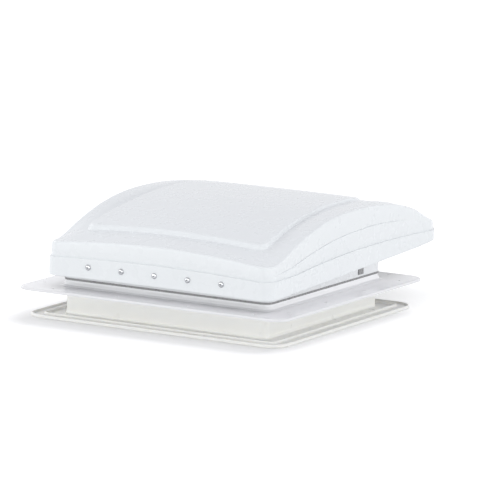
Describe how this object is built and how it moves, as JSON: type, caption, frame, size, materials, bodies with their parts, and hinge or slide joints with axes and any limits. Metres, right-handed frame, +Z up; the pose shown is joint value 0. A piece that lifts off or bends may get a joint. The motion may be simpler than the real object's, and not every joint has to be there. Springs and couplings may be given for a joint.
{
  "type": "caravan roof vent",
  "caption": "Powered roof vent with a domed hinged lid, fan ring and motor on a square roof flange, worm lift knob, insect screen and sliding ceiling garnish.",
  "frame": {"origin": "centre of the square roof opening, on the underside of the mounting flange", "axes": "+X along the hinge, to the right seen from the hinge side; +Y from the hinge to the tail of the lid; +Z up, out of the roof"},
  "size_m": [0.45, 0.585, 0.169],
  "materials": {
    "lid_white": "high gloss, UV stable moulding",
    "flange_white": "gloss moulding",
    "housing_white": "semi gloss moulding",
    "garnish_ivory": "fine satin moulding",
    "control_white": "satin moulding",
    "rubber_black": "soft matt rubber",
    "zinc_steel": "bright zinc plated",
    "hinge_alloy": "mill finish extrusion",
    "black_plastic": "glass filled, matt",
    "motor_grey": "plated can with paint",
    "screen_grey": "coated wire",
    "lift_nylon": "natural nylon"
  },
  "bodies": {
    "base": {"mounting_flange": "flange_white", "housing_gasket": "rubber_black", "fan_housing": "housing_white", "fan_ring": "housing_white", "side_screws": "zinc_steel", "side_plugs": "rubber_black", "lid_seal": "rubber_black", "hinge_base_leaf": "hinge_alloy", "base_leaf_screws": "zinc_steel", "hinge_pin": "zinc_steel", "motor_spider": "black_plastic", "spider_screws": "zinc_steel", "motor": "motor_grey", "motor_screws": "zinc_steel", "lift_bracket": "hinge_alloy", "bracket_screws": "zinc_steel", "pivot_pin": "zinc_steel", "inner_cover": "garnish_ivory", "cover_screws": "zinc_steel", "screen_frame": "garnish_ivory", "screen_mesh": "screen_grey", "dial_switch": "black_plastic", "rocker_switch": "black_plastic"},
    "lid": {"lid_shell": "lid_white", "lid_screws": "zinc_steel", "hinge_lid_leaf": "hinge_alloy", "lid_frame": "housing_white", "lift_track": "hinge_alloy", "track_screws": "zinc_steel"},
    "lift_arm": {"lift_arm": "lift_nylon"},
    "lift_shoe": {"lift_shoe": "black_plastic"},
    "lift_knob": {"lift_knob": "control_white", "worm_shaft": "lift_nylon"},
    "fan": {"fan_rotor": "black_plastic", "fan_shaft": "zinc_steel", "fan_clip": "zinc_steel"},
    "speed_dial": {"speed_dial": "control_white"},
    "in_out_rocker": {"in_out_rocker": "black_plastic"},
    "screen_clip_a": {"screen_clip_a": "garnish_ivory"},
    "screen_clip_b": {"screen_clip_b": "garnish_ivory"},
    "screen_clip_c": {"screen_clip_c": "garnish_ivory"},
    "screen_clip_d": {"screen_clip_d": "garnish_ivory"},
    "garnish": {"garnish": "garnish_ivory"}
  },
  "joints": [
    {"name": "lid_hinge", "type": "hinge", "parent": "base", "child": "lid", "pos_m": [0, -0.193, 0.032], "axis": [1, 0, 0], "range_deg": [0, 45]},
    {"name": "arm_pivot", "type": "hinge", "parent": "base", "child": "lift_arm", "pos_m": [0.135, -0.117, 0.032], "axis": [1, 0, 0], "range_deg": [0, 90]},
    {"name": "shoe_pivot", "type": "hinge", "parent": "lift_arm", "child": "lift_shoe", "pos_m": [0.144, -0.041, 0.032], "axis": [1, 0, 0], "range_deg": [-45, 0]},
    {"name": "knob_turn", "type": "hinge", "parent": "base", "child": "lift_knob", "pos_m": [0.135, -0.134, -0.03], "axis": [0, 0, 1], "range_deg": [0, 2160]},
    {"name": "fan_spin", "type": "hinge", "parent": "base", "child": "fan", "pos_m": [0, 0, 0], "axis": [0, 0, 1], "continuous": true},
    {"name": "speed_turn", "type": "hinge", "parent": "base", "child": "speed_dial", "pos_m": [-0.135, -0.134, -0.03], "axis": [0, 0, 1], "range_deg": [0, 270]},
    {"name": "rocker_tilt", "type": "hinge", "parent": "base", "child": "in_out_rocker", "pos_m": [-0.135, 0.134, -0.0175], "axis": [1, 0, 0], "range_deg": [-8, 8]},
    {"name": "clip_turn_a", "type": "hinge", "parent": "base", "child": "screen_clip_a", "pos_m": [0.13943, 0.0805, -0.025], "axis": [0, 0, 1], "range_deg": [0, 90]},
    {"name": "clip_turn_b", "type": "hinge", "parent": "base", "child": "screen_clip_b", "pos_m": [-0.13943, 0.0805, -0.025], "axis": [0, 0, 1], "range_deg": [0, 90]},
    {"name": "clip_turn_c", "type": "hinge", "parent": "base", "child": "screen_clip_c", "pos_m": [-0.13943, -0.0805, -0.025], "axis": [0, 0, 1], "range_deg": [0, 90]},
    {"name": "clip_turn_d", "type": "hinge", "parent": "base", "child": "screen_clip_d", "pos_m": [0.13943, -0.0805, -0.025], "axis": [0, 0, 1], "range_deg": [0, 90]},
    {"name": "garnish_slide", "type": "slide", "parent": "base", "child": "garnish", "axis": [0, 0, 1], "range_m": [-0.03, 0]}
  ],
  "couplings": [
    {"joint": "arm_pivot", "follows": "lid_hinge", "ratio": 2},
    {"joint": "shoe_pivot", "follows": "lid_hinge", "ratio": -1},
    {"joint": "knob_turn", "follows": "lid_hinge", "ratio": 48}
  ]
}
